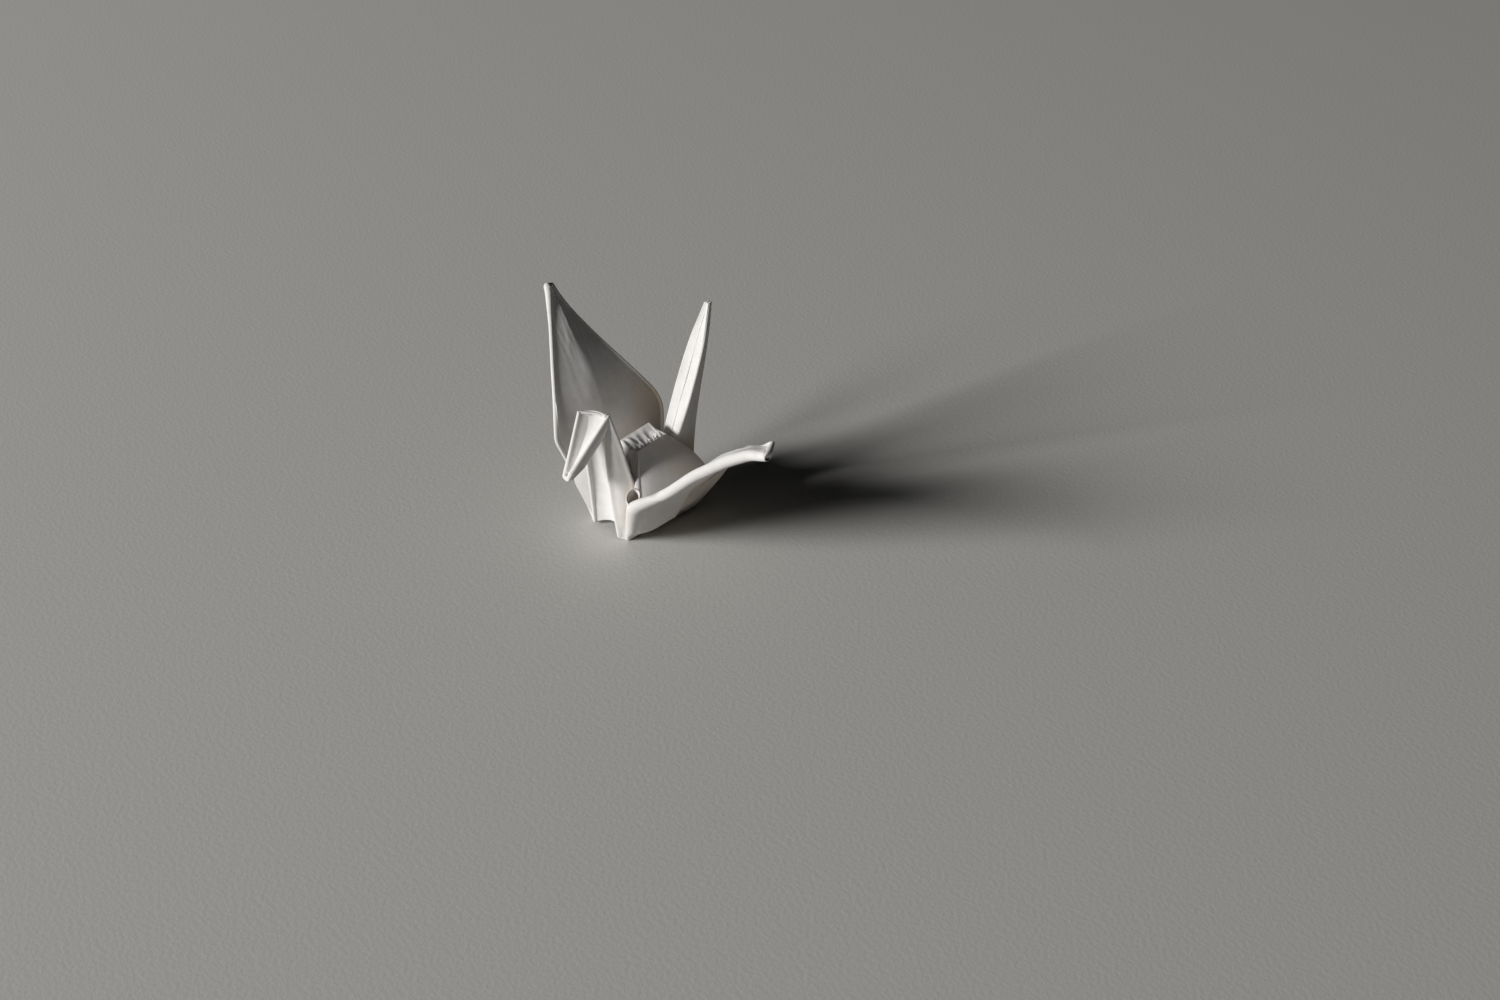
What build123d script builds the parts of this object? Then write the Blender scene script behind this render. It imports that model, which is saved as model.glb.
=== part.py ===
from build123d import *
import os
from math import cos, hypot, radians, sin, sqrt, tan

os.makedirs("parts", exist_ok=True)

# A paper crane folded from one square sheet, in millimetres. It faces -Y, its near wing is
# on +X, its far wing on -X, and +Z is up. The origin lies under the middle of its box, on
# the table that its four feet stand on.

# The sheet and its folded edges, which stay a little open inside and so are thicker than the paper
SHEET_SIDE = 75.0
PLY = 0.16
FOLD_RADIUS = 0.4
RIDGE_RADIUS = 0.22
FLAP_EDGE_RADIUS = 0.27
CORNER_SWELL = 1.14
FOOT_FLAT = 0.12

# The body, pulled open between the two wings
NEAR_FOOT_OUT = 4.1
FAR_FOOT_OUT = 4.7
FAR_SIDE_AHEAD = 0.35
SPINE_LIFT = 1.0
NEAR_SIDE_LEAN = 28.5
FAR_SIDE_LEAN = 25.0
REVERSE_FOLD_SHARE = 0.30
REVERSE_FOLD_TILT = 8.2
SEAM_WIDTH = 0.3

# The wings, whose rises are angles above the table. The near one is blunt and rolled at its
# tip, its rear edge up, and its front edge is a thick open roll that bulges at the corner;
# the far one bulges at its rear corner.
NEAR_WING_ROOT_RISE = 45.0
NEAR_WING_TIP_RISE = 28.0
NEAR_WING_TIP_WIDTH = 3.4
NEAR_WING_ROLL = 24.0
NEAR_EDGE_SWELL = 0.3
NEAR_FRONT_BULGE = 1.7
FAR_WING_ROOT_RISE = 57.0
FAR_WING_TIP_RISE = 53.0
FAR_WING_TIP_WIDTH = 1.2
FAR_REAR_BULGE = 1.5
WING_POINT_WIDTH = 1.1
WING_BEND_RUN = 3.0
WING_SPANS = 4
WING_CREASE = 0.3
LIP_DEPTH = 2.2
LIP_RADIUS = 0.45

# The hump, whose top is squashed flat and pleated
HUMP_HEIGHT = 14.9
HUMP_TOP_LENGTH = 6.1
HUMP_TOP_WIDTH = 4.4
HUMP_REAR_RISE = 0.8
HUMP_DENT = 0.6
PLEAT_COUNT = 3
PLEAT_DEPTH = 0.5

# The neck and the tail, as leans from upright
NECK_LEAN = 18.0
NECK_LENGTH = 24.6
NEAR_SHOULDER_OUT = 2.0
NEAR_SHOULDER_AHEAD = 0.3
FAR_SHOULDER_OUT = 1.45
FAR_SHOULDER_AHEAD = 2.9
NEAR_NECK_FOOT_IN = 1.2
FAR_NECK_FOOT_IN = 1.6
NECK_FOOT_AHEAD = 0.9
NECK_BOW = 1.1
NECK_FLAP_SPRING = 2.1
TAIL_LEAN = 21.0
TAIL_BOW = 2.9
TAIL_OPENING = 3.8
TAIL_OPENING_ASIDE = 0.2
TAIL_BLUNTING = 0.5
LEG_TIP_WIDTH = 0.5

# The head, folded forwards and down from the top of the neck
HEAD_LENGTH = 10.7
HEAD_DROP = 60.0
HEAD_TURN = 4.0
BEAK_RADIUS = 0.5

# The flat fold that comes before the crane is opened: levels are heights on its centre
# line, from the middle of the sheet, with the wing tip above and the leg tips below.
HALF_DIAGONAL = SHEET_SIDE / sqrt(2)
WING_SLOPE = tan(radians(22.5))
LEG_SLOPE = tan(radians(11.25))
HINGE_LEVEL = HALF_DIAGONAL / sqrt(2) - HALF_DIAGONAL
WING_TIP_LEVEL = HALF_DIAGONAL + 2 * HINGE_LEVEL
CORNER_LEVEL = (WING_SLOPE * WING_TIP_LEVEL - LEG_SLOPE * HALF_DIAGONAL) / (WING_SLOPE + LEG_SLOPE)
CORNER_HALF = WING_SLOPE * (WING_TIP_LEVEL - CORNER_LEVEL)
RIDGE_LEVEL = -HALF_DIAGONAL * LEG_SLOPE / (1 + LEG_SLOPE)
FLAP_LEVEL = hypot(HINGE_LEVEL, HALF_DIAGONAL + HINGE_LEVEL) - HALF_DIAGONAL
SPINE_LEVEL = -REVERSE_FOLD_SHARE * HALF_DIAGONAL
TILT_SLOPE = tan(radians(REVERSE_FOLD_TILT))
FOOT_HALF = LEG_SLOPE * (HALF_DIAGONAL + SPINE_LEVEL) / (1 + LEG_SLOPE * TILT_SLOPE)
FOOT_LEVEL = SPINE_LEVEL - FOOT_HALF * TILT_SLOPE
REVERSE_FOLD = hypot(FOOT_HALF, FOOT_HALF * TILT_SLOPE)
SIDE_HEIGHT = CORNER_LEVEL - FOOT_LEVEL
WING_LENGTH = WING_TIP_LEVEL - CORNER_LEVEL
LEG_LENGTH = HALF_DIAGONAL + SPINE_LEVEL

# Shares of the paper's and the folds' own sizes
FLAP_DEPTH = 1.25 * PLY
FLAP_THICKNESS = 1.5 * PLY
SWELL_FADE = 0.5
PLEAT_SKEW = 0.08
ROUND_ENOUGH = 0.005

# How far the neck's flaps stand open at its foot, middle and top
NECK_OPENINGS = (0.6, 1.0, 0.7)

# Heights along the tail, and how far its flaps are open at each
TAIL_SHARES = (0.0, 0.35, 0.5, 0.72, 0.88, 1.0)
TAIL_OPENINGS = (0.5, 0.8, 1.0, 0.95, 0.75, 0.1)

# Where the opened body stands
FOOT_RISE = FOLD_RADIUS - FOOT_FLAT
SPINE_RISE = FOOT_RISE + SPINE_LIFT
SPINE_INSET = FOOT_HALF - sqrt(REVERSE_FOLD**2 - NEAR_FOOT_OUT**2 - SPINE_LIFT**2)


def stretch(corners, thickness):
    """A flat stretch of paper: its outline, thickened half to each side."""
    outline = Face(Wire.make_polygon(corners, close=True))
    return extrude(outline, amount=thickness / 2, both=True).solid()


def web(low_start, low_end, high_start, high_end, thickness):
    """Paper ruled between two lines, thickened half to each side."""
    half = (high_end - low_start).cross(high_start - low_end).normalized() * (thickness / 2)
    sections = []
    for start, end in ((low_start, low_end), (high_start, high_end)):
        sections.append([start - half, end - half, end + half, start + half])
    return layer(sections)


def fold(start, end, radius):
    """A folded edge, round across, between two corners."""
    run = end - start
    return Solid.make_cylinder(radius, run.length, Plane(origin=start, z_dir=run))


def tapered_fold(start, end, radius, end_radius):
    """A folded edge that grows thicker or thinner along its length."""
    run = end - start
    if abs(end_radius - radius) < ROUND_ENOUGH:
        return fold(start, end, radius)
    return Solid.make_cone(radius, end_radius, run.length, Plane(origin=start, z_dir=run))


def corner(place, radius):
    """The blunt corner where folded edges meet."""
    return Solid.make_sphere(radius * CORNER_SWELL, Plane(origin=place))


def edge_run(places, radius):
    """Folded edges through a row of places, with a blunt corner at each."""
    runs = [fold(a, b, radius) for a, b in zip(places, places[1:])]
    return runs + [corner(place, radius) for place in places]


def joined(pieces):
    """Stretches and folds of paper made one, piece by piece."""
    whole = pieces[0]
    for piece in pieces[1:]:
        whole = whole.fuse(piece)
    return whole


def layer(sections):
    """One layer of paper, ruled through a row of closed sections."""
    return Solid.make_loft([Wire.make_polygon(places, close=True) for places in sections], ruled=True)


def arc_run(start_rise, end_rise, length):
    """How far out and up a line goes whose slope changes evenly along its length."""
    start, end = radians(start_rise), radians(end_rise)
    if start == end:
        return length * cos(start), length * sin(start)
    radius = length / (end - start)
    return radius * (sin(end) - sin(start)), radius * (cos(start) - cos(end))


class WingSide:
    """A side panel and the wing it carries, on the near (+1) or the far (-1) side."""

    def __init__(self, side, foot_out, ahead, lean, root_rise, tip_rise, tip_width, roll, edge_swell,
                 bulges):
        self.side = side
        self.foot_out = foot_out
        self.ahead = ahead
        self.tip_width = tip_width
        self.roll = radians(roll)
        self.edge_swell = edge_swell
        self.bulges = bulges
        bend_start, bend_end = SIDE_HEIGHT - WING_BEND_RUN, SIDE_HEIGHT + WING_BEND_RUN
        self.arcs = [
            (0, bend_start, 90 - lean, 90 - lean),
            (bend_start, bend_end, 90 - lean, root_rise),
            (bend_end, SIDE_HEIGHT + WING_LENGTH, root_rise, tip_rise),
        ]
        span = (WING_LENGTH - WING_BEND_RUN) / WING_SPANS
        outer = [bend_end + span * count for count in range(WING_SPANS + 1)]
        self.heights = [0, bend_start, SIDE_HEIGHT] + outer

    def wing_share(self, height):
        """How far along the wing a height above the feet is, from 0 at its corners to 1 at its tip."""
        return max(0, (height - SIDE_HEIGHT) / WING_LENGTH)

    def half_width(self, height, end):
        """Half the width of the panel or its wing towards one end, at a height above the feet."""
        bulge = self.bulges[end]
        if height <= SIDE_HEIGHT:
            return FOOT_HALF + (CORNER_HALF + bulge - FOOT_HALF) * height / SIDE_HEIGHT
        left = 1 - self.wing_share(height)
        taper = CORNER_HALF * left + WING_POINT_WIDTH / 2 * (1 - left)
        return max(taper, self.tip_width / 2) + bulge * left

    def rim_radius(self, height, end):
        """The folded edge's radius, which is largest at the front corner."""
        if end > 0:
            return FOLD_RADIUS
        rise = min(1, height / SIDE_HEIGHT) * (1 - self.wing_share(height) * SWELL_FADE)
        return FOLD_RADIUS + self.edge_swell * rise

    def place(self, height, along, depth=0):
        """A point at a height up the paper from the feet, and a depth towards its underside."""
        roll = self.roll * self.wing_share(height) ** 2
        depth -= along * sin(roll)
        along *= cos(roll)
        out, up, slope = self.foot_out, FOOT_RISE, 0
        for start, end, start_rise, end_rise in self.arcs:
            if height >= start:
                share = min(1, (height - start) / (end - start))
                slope = start_rise + (end_rise - start_rise) * share
                run_out, run_up = arc_run(start_rise, slope, (end - start) * share)
                out, up = out + run_out, up + run_up
        out += depth * sin(radians(slope))
        up -= depth * cos(radians(slope))
        ahead = self.ahead * (1 - self.wing_share(height))
        return Vector(self.side * out, along - ahead, up)

    def crease(self, height, along):
        """How far the centre crease lifts the wing's inner face there."""
        half = self.half_width(height, 1 if along > 0 else -1)
        return WING_CREASE * self.wing_share(height) * (half - abs(along))

    def section(self, height, alongs, inner, outer):
        """The closed section of a layer across the wing, between two depths."""
        lower = [self.place(height, y, inner - self.crease(height, y)) for y in alongs]
        upper = [self.place(height, y, outer - self.crease(height, y)) for y in alongs]
        return lower + upper[::-1]

    def layers(self):
        """The smooth inner layer, and outside it the two wedges that meet at the seam."""
        made = []
        widths = {end: [self.half_width(height, end) for height in self.heights] for end in (-1, 1)}
        whole = [(-front, 0, rear) for front, rear in zip(widths[-1], widths[1])]
        made.append(layer([self.section(h, a, -PLY, 0) for h, a in zip(self.heights, whole)]))
        for end in (-1, 1):
            halves = [(end * SEAM_WIDTH / 2, end * width) for width in widths[end]]
            made.append(layer([self.section(h, a, -PLY / 4, PLY) for h, a in zip(self.heights, halves)]))
        return made

    def flaps(self):
        """The two outer flaps of the side panel, with their V of raw corners at the top."""
        made = []
        for end in (-1, 1):
            seam = end * SEAM_WIDTH / 2
            foot = self.place(0, end * FOOT_HALF, PLY)
            spine = self.place(SPINE_LEVEL - FOOT_LEVEL, seam, FLAP_DEPTH)
            point = self.place(FLAP_LEVEL - FOOT_LEVEL, seam, FLAP_DEPTH)
            wing_corner = self.place(SIDE_HEIGHT, end * self.half_width(SIDE_HEIGHT, end), PLY)
            made.append(web(foot, spine, wing_corner, point, FLAP_THICKNESS))
        return made

    def rims(self):
        """The folded edges, from the feet up the panel and along the wing to its tip."""
        made = []
        for end in (-1, 1):
            places = [self.place(height, end * self.half_width(height, end)) for height in self.heights]
            radii = [self.rim_radius(height, end) for height in self.heights]
            for low in range(len(places) - 1):
                made.append(tapered_fold(*places[low:low + 2], *radii[low:low + 2]))
            made += [corner(place, radius) for place, radius in zip(places, radii)]
        tip = [self.place(SIDE_HEIGHT + WING_LENGTH, end * self.tip_width / 2) for end in (-1, 1)]
        made.append(fold(tip[0], tip[1], FOLD_RADIUS))
        return made

    def lip(self):
        """The hollow where the rolled front edge is left open at the wing's front corner."""
        foot_height = SIDE_HEIGHT - LIP_DEPTH
        top = self.place(SIDE_HEIGHT, -self.half_width(SIDE_HEIGHT, -1), -LIP_RADIUS)
        foot = self.place(foot_height, -self.half_width(foot_height, -1))
        run = foot - top
        return Solid.make_cone(LIP_RADIUS, LIP_RADIUS / 2, run.length, Plane(origin=top, z_dir=run))

    def solids(self):
        """All the paper of this side."""
        return self.layers() + self.flaps() + self.rims()


def hump_corner(side, end):
    """A corner of the hump's squashed top."""
    return hump_crown(end) + Vector(side * HUMP_TOP_WIDTH / 2, 0, HUMP_DENT)


def hump_crown(end):
    """The dented middle of the hump's top at its front or its rear, which stands higher."""
    rise = HUMP_REAR_RISE if end > 0 else 0
    return Vector(0, end * HUMP_TOP_LENGTH / 2, HUMP_HEIGHT - HUMP_DENT + rise)


def hump_wall(wing):
    """One wall of the hump, from the hinge fold inside a side panel up to the squashed top."""
    hinge_height = HINGE_LEVEL - FOOT_LEVEL
    hinge_half = LEG_SLOPE * (HALF_DIAGONAL + HINGE_LEVEL)
    low = [wing.place(hinge_height, end * hinge_half) for end in (-1, 1)]
    ridge = [wing.place(RIDGE_LEVEL - FOOT_LEVEL, end * -RIDGE_LEVEL) for end in (-1, 1)]
    top = [hump_corner(wing.side, end) for end in (-1, 1)]
    made = [web(low[0], low[1], top[0], top[1], PLY)]
    for foot, side_ridge, peak in zip(low, ridge, top):
        made.append(stretch([foot, side_ridge, peak], PLY))
        made.append(fold(side_ridge, peak, RIDGE_RADIUS))
    return made + edge_run(top, RIDGE_RADIUS)


def gusset(end, wings):
    """The wall that closes one end of the hump, folded in along its centre line."""
    spine = Vector(0, end * SPINE_INSET, SPINE_RISE)
    peak = hump_crown(end)
    made = edge_run([spine, peak], RIDGE_RADIUS)
    for wing in wings:
        foot = wing.place(0, end * FOOT_HALF)
        ridge = wing.place(RIDGE_LEVEL - FOOT_LEVEL, end * -RIDGE_LEVEL)
        top = hump_corner(wing.side, end)
        made += [stretch([spine, foot, ridge], PLY), stretch([spine, ridge, peak], PLY)]
        made += [stretch([peak, ridge, top], PLY), fold(top, peak, RIDGE_RADIUS)]
        made.append(fold(spine, foot, RIDGE_RADIUS))
    return made


def hump_top():
    """The squashed top: a dented middle, with pleats along its near edge."""
    middle = [hump_crown(-1), hump_crown(1)]
    made = edge_run(middle, RIDGE_RADIUS)
    for side in (-1, 1):
        made.append(web(middle[0], middle[1], hump_corner(side, -1), hump_corner(side, 1), PLY))
    edge = hump_corner(1, 1) - hump_corner(1, -1)
    for count in range(1, PLEAT_COUNT + 1):
        share = count / (PLEAT_COUNT + 1)
        crest = hump_corner(1, -1) + edge * share + Vector(PLEAT_DEPTH / 2, 0, -PLEAT_DEPTH)
        root = middle[0] + (middle[1] - middle[0]) * (share + PLEAT_SKEW)
        made += [fold(root, crest, RIDGE_RADIUS), corner(crest, RIDGE_RADIUS)]
    return made


def leg(spine, rims, flap_edges):
    """A narrow leg, open along one side: a spine, two arms, and a flap folded back on each."""
    made = edge_run(spine, RIDGE_RADIUS)
    for rim, edge in zip(rims, flap_edges):
        made += edge_run(rim, FOLD_RADIUS) + edge_run(edge, FLAP_EDGE_RADIUS)
        for low in range(len(spine) - 1):
            made.append(web(spine[low], rim[low], spine[low + 1], rim[low + 1], PLY))
            made.append(web(edge[low], rim[low], edge[low + 1], rim[low + 1], PLY))
    return made


def neck_and_head(wings):
    """The neck, from the front feet to its top fold, and the head folded down in front."""
    lean = radians(NECK_LEAN)
    root = Vector(0, -SPINE_INSET, SPINE_RISE)
    top = root + Vector(0, -sin(lean), cos(lean)) * NECK_LENGTH
    spine = [root, (root + top) / 2, top]
    shoulders = [
        top + Vector(NEAR_SHOULDER_OUT, -NEAR_SHOULDER_AHEAD, 0),
        top + Vector(-FAR_SHOULDER_OUT, -FAR_SHOULDER_AHEAD, 0),
    ]
    made, rims, edges = [], [], []
    for wing, shoulder, foot_in in zip(wings, shoulders, (NEAR_NECK_FOOT_IN, FAR_NECK_FOOT_IN)):
        side_foot = wing.place(0, -FOOT_HALF)
        foot = side_foot + Vector(-wing.side * foot_in, -NECK_FOOT_AHEAD, foot_in / 4)
        middle = (foot + shoulder) / 2 + Vector(-wing.side * NECK_BOW, -NECK_BOW / 2, 0)
        rims.append([foot, middle, shoulder])
        out = wing.side * NECK_FLAP_SPRING
        edges.append([place + Vector(out * share, 0, 0) for place, share in zip(spine, NECK_OPENINGS)])
        made.append(fold(side_foot, foot, FOLD_RADIUS))
    return leg(spine, rims, edges) + made + head(top, shoulders)


def head(spine_top, shoulders):
    """The head: two arms that splay from the spine underneath, closing at the blunt beak."""
    drop, turn = radians(HEAD_DROP), radians(HEAD_TURN)
    ahead = Vector(-sin(turn) * cos(drop), -cos(turn) * cos(drop), -sin(drop))
    beak = (shoulders[0] + shoulders[1]) / 2 + ahead * HEAD_LENGTH
    made = [fold(spine_top, beak, RIDGE_RADIUS), corner(beak, BEAK_RADIUS)]
    for shoulder in shoulders:
        made.append(stretch([spine_top, shoulder, beak], 2 * PLY))
        made += [fold(shoulder, beak, FOLD_RADIUS), fold(spine_top, shoulder, RIDGE_RADIUS)]
    return made


def tail(wings):
    """The tail, from the rear feet to its blunt tip, its two flaps sprung open along the front."""
    lean = radians(TAIL_LEAN)
    root = Vector(0, SPINE_INSET, SPINE_RISE)
    tip = root + Vector(0, sin(lean), cos(lean)) * (LEG_LENGTH - TAIL_BLUNTING)
    spine = [root + (tip - root) * share for share in TAIL_SHARES]
    rims, edges = [], []
    for wing in wings:
        foot = wing.place(0, FOOT_HALF)
        end = tip + Vector(wing.side * LEG_TIP_WIDTH / 2, LEG_TIP_WIDTH, 0)
        rim, edge = [], []
        for place, share, opening in zip(spine, TAIL_SHARES, TAIL_OPENINGS):
            bow = wing.side * TAIL_BOW * sin(radians(180) * share) * (1 - share)
            rim.append(foot + (end - foot) * share - Vector(bow, 0, 0))
            out = wing.side * TAIL_OPENING / 2 + TAIL_OPENING_ASIDE
            edge.append(place + Vector(out * opening, 0, 0))
        rims.append(rim)
        edges.append(edge)
    return leg(spine, rims, edges)


def folded_crane():
    """The whole sheet as one solid, its feet flattened where they stand on the table."""
    near = WingSide(1, NEAR_FOOT_OUT, 0, NEAR_SIDE_LEAN, NEAR_WING_ROOT_RISE, NEAR_WING_TIP_RISE,
                    NEAR_WING_TIP_WIDTH, NEAR_WING_ROLL, NEAR_EDGE_SWELL, {-1: NEAR_FRONT_BULGE, 1: 0})
    far = WingSide(-1, FAR_FOOT_OUT, FAR_SIDE_AHEAD, FAR_SIDE_LEAN, FAR_WING_ROOT_RISE, FAR_WING_TIP_RISE,
                   FAR_WING_TIP_WIDTH, 0, 0, {-1: 0, 1: FAR_REAR_BULGE})
    wings = (near, far)
    stages = [near.solids(), far.solids(), hump_wall(near), hump_wall(far), hump_top()]
    stages += [gusset(-1, wings), gusset(1, wings), neck_and_head(wings), tail(wings)]
    crane = joined([joined(stage) for stage in stages]).cut(near.lip())
    below = Solid.make_box(SHEET_SIDE * 2, SHEET_SIDE * 2, SHEET_SIDE)
    crane = crane.cut(below.moved(Location((-SHEET_SIDE, -SHEET_SIDE, -SHEET_SIDE))))
    box = crane.bounding_box()
    middle = box.center()
    return crane.moved(Location((-middle.X, -middle.Y, -box.min.Z)))


export_step(folded_crane(), "parts/folded_crane.step")
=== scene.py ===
"""The folded paper crane in its finish: soft folds, rounded rims, a crumpled hump and blunt tips.

Every stretch of paper is a surface of two parameters, worked out in millimetres and put into one
mesh. The crane faces -Y, its near wing is on +X, its far wing on -X, and +Z is up.
"""
import math

import bmesh
import bpy
import numpy as np
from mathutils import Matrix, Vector


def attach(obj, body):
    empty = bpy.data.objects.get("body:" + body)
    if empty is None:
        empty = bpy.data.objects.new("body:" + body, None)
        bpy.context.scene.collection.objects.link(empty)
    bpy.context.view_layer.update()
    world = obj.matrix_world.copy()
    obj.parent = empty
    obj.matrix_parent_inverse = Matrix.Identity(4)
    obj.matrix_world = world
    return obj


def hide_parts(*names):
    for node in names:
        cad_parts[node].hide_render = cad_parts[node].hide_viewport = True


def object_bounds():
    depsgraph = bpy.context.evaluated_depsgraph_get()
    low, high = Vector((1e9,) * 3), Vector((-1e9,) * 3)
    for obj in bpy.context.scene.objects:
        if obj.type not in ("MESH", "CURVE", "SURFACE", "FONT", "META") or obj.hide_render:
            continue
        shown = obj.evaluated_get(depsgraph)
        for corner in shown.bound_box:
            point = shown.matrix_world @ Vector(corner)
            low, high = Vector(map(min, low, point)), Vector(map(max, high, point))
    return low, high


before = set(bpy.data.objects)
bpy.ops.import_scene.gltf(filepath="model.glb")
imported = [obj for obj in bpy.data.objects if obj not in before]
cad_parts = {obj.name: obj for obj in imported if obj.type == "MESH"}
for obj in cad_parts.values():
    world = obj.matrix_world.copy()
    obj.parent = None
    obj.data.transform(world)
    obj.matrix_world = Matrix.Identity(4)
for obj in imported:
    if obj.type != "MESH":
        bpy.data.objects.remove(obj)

cad_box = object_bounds()

MM = 0.001
FINENESS = 1.0

# The sheet and the flat fold, as in the solid: levels are heights on the fold's centre line
SHEET_SIDE = 75.0
HALF_DIAGONAL = SHEET_SIDE / math.sqrt(2)
WING_SLOPE = math.tan(math.radians(22.5))
LEG_SLOPE = math.tan(math.radians(11.25))
HINGE_LEVEL = HALF_DIAGONAL / math.sqrt(2) - HALF_DIAGONAL
WING_TIP_LEVEL = HALF_DIAGONAL + 2 * HINGE_LEVEL
CORNER_LEVEL = (WING_SLOPE * WING_TIP_LEVEL - LEG_SLOPE * HALF_DIAGONAL) / (WING_SLOPE + LEG_SLOPE)
CORNER_HALF = WING_SLOPE * (WING_TIP_LEVEL - CORNER_LEVEL)
RIDGE_LEVEL = -HALF_DIAGONAL * LEG_SLOPE / (1 + LEG_SLOPE)
FLAP_LEVEL = math.hypot(HINGE_LEVEL, HALF_DIAGONAL + HINGE_LEVEL) - HALF_DIAGONAL
SPINE_LEVEL = -0.30 * HALF_DIAGONAL
TILT_SLOPE = math.tan(math.radians(8.2))
FOOT_HALF = LEG_SLOPE * (HALF_DIAGONAL + SPINE_LEVEL) / (1 + LEG_SLOPE * TILT_SLOPE)
FOOT_LEVEL = SPINE_LEVEL - FOOT_HALF * TILT_SLOPE
REVERSE_FOLD = math.hypot(FOOT_HALF, FOOT_HALF * TILT_SLOPE)
SIDE_HEIGHT = CORNER_LEVEL - FOOT_LEVEL
WING_LENGTH = WING_TIP_LEVEL - CORNER_LEVEL
LEG_LENGTH = HALF_DIAGONAL + SPINE_LEVEL

# The opened body, as in the solid
BODY_PLACE = np.array([-3.02509, 0.5141, 0.0])
NEAR_FOOT_OUT = 4.1
FAR_FOOT_OUT = 4.7
FOOT_RISE = 0.28
SPINE_RISE = FOOT_RISE + 1.0
SPINE_INSET = FOOT_HALF - math.sqrt(REVERSE_FOLD**2 - NEAR_FOOT_OUT**2 - 1.0)
WING_BEND_RUN = 3.0
WING_POINT_HALF = 0.55
HUMP_HEIGHT = 14.9
HUMP_TOP_LENGTH = 6.1
HUMP_TOP_WIDTH = 4.4
HUMP_REAR_RISE = 0.8
HUMP_DENT = 0.6

# The paper, and how far the dressed shape may stand out of the solid's box at the wings' tips
PLY_HALF = 0.09
FOLDED_HALF = 0.12
WALL_HALF = 0.13
RIM_RADIUS = 0.36
FLAP_RADIUS = 0.3
RIDGE_RADIUS = 0.13
BOX_SPARE = 0.8
FRONT, REAR = -1, 1

# How the edges and the ends of a stretch are sampled
CAP_TURNS = np.linspace(0, np.pi, 7)[None, 1:-1, None]
END_LEANS = np.radians([30, 60, 90])
EDGE_SAMPLES = 480
EDGE_MARGIN = 4
SWAY_EASING = 14

# The view and the lamp, as bearings and heights over the table in degrees, and distances in metres
VIEW_TARGET = (9.09, 15.69)
VIEW_BEARING, VIEW_RISE, VIEW_DISTANCE = 48.13, 35.17, 0.3578
LAMP_BEARING, LAMP_RISE, LAMP_DISTANCE = -19, 21, 2.6
LAMP_SIZE = (0.9, 0.55)
LAMP_POWER = 78.0


def unit(vectors):
    """Each vector divided by its own length."""
    length = np.linalg.norm(vectors, axis=-1, keepdims=True)
    return vectors / np.maximum(length, 1e-9)


def ease(value):
    """A smooth step from 0 to 1, as the value goes from 0 to 1."""
    value = np.clip(value, 0, 1)
    return value * value * (3 - 2 * value)


def bell(value, width):
    """A hump of height 1 about zero, that falls off over a width."""
    return np.exp(-(value / width) ** 2)


def even_window(reach):
    """The even weights that average a sample with its neighbours up to a reach on either side."""
    return np.ones(2 * reach + 1) / (2 * reach + 1)


def eased(values, reach):
    """A row of numbers, each averaged with its neighbours up to a reach on either side."""
    return np.convolve(np.pad(values, reach, "edge"), even_window(reach), "valid")


def soft_line(places, count, softening=0.0):
    """A line through a few places: straight runs sampled evenly by length, whose corners are then
    eased by averaging each sample with its neighbours over a share of the line."""
    places = np.asarray(places, float)
    steps = np.linalg.norm(np.diff(places, axis=0), axis=1)
    marks = np.r_[0, np.cumsum(steps)] / steps.sum()
    samples = np.linspace(0, 1, count)
    line = np.stack([np.interp(samples, marks, places[:, axis]) for axis in range(3)], axis=1)
    reach = int(softening * count)
    for _ in range(2 if reach else 0):
        ahead = 2 * line[-1] - line[-2 - reach:-1][::-1]
        behind = 2 * line[0] - line[1:2 + reach][::-1]
        padded = np.vstack([behind, line, ahead])
        window = even_window(reach)
        soft = np.stack([np.convolve(column, window, "same") for column in padded.T], axis=1)
        line = soft[len(behind):len(behind) + count]
    return line


def wander(places, size, amount, seed):
    """A gentle field over space: the mean of eight sine waves in seeded directions, whose
    lengths lie between one and two times size, scaled to amount."""
    source = np.random.default_rng(seed)
    directions = unit(source.normal(size=(8, 3)))
    lengths = size * source.uniform(1, 2, 8)
    phases = source.uniform(0, 2 * np.pi, 8)
    waves = np.sin(places @ (directions / lengths[:, None] * 2 * np.pi).T + phases)
    return amount * waves.mean(axis=-1) * 2


def creases(places, size, amount, seed):
    """Sharp small creases: thin ridges that stand where a wandering field passes zero."""
    field = np.abs(wander(places, size, 1.0, seed))
    return amount * np.clip(1 - 2.2 * field, 0, 1) ** 1.5


def normals(grid, facing):
    """The unit normals of a grid of places, turned to one side."""
    normal = unit(np.cross(np.gradient(grid, axis=1), np.gradient(grid, axis=0)))
    facing = np.asarray(facing, float)
    if normal.mean(axis=(0, 1)) @ facing < 0:
        normal = -normal
    return unit(normal + 0.02 * facing)


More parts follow.
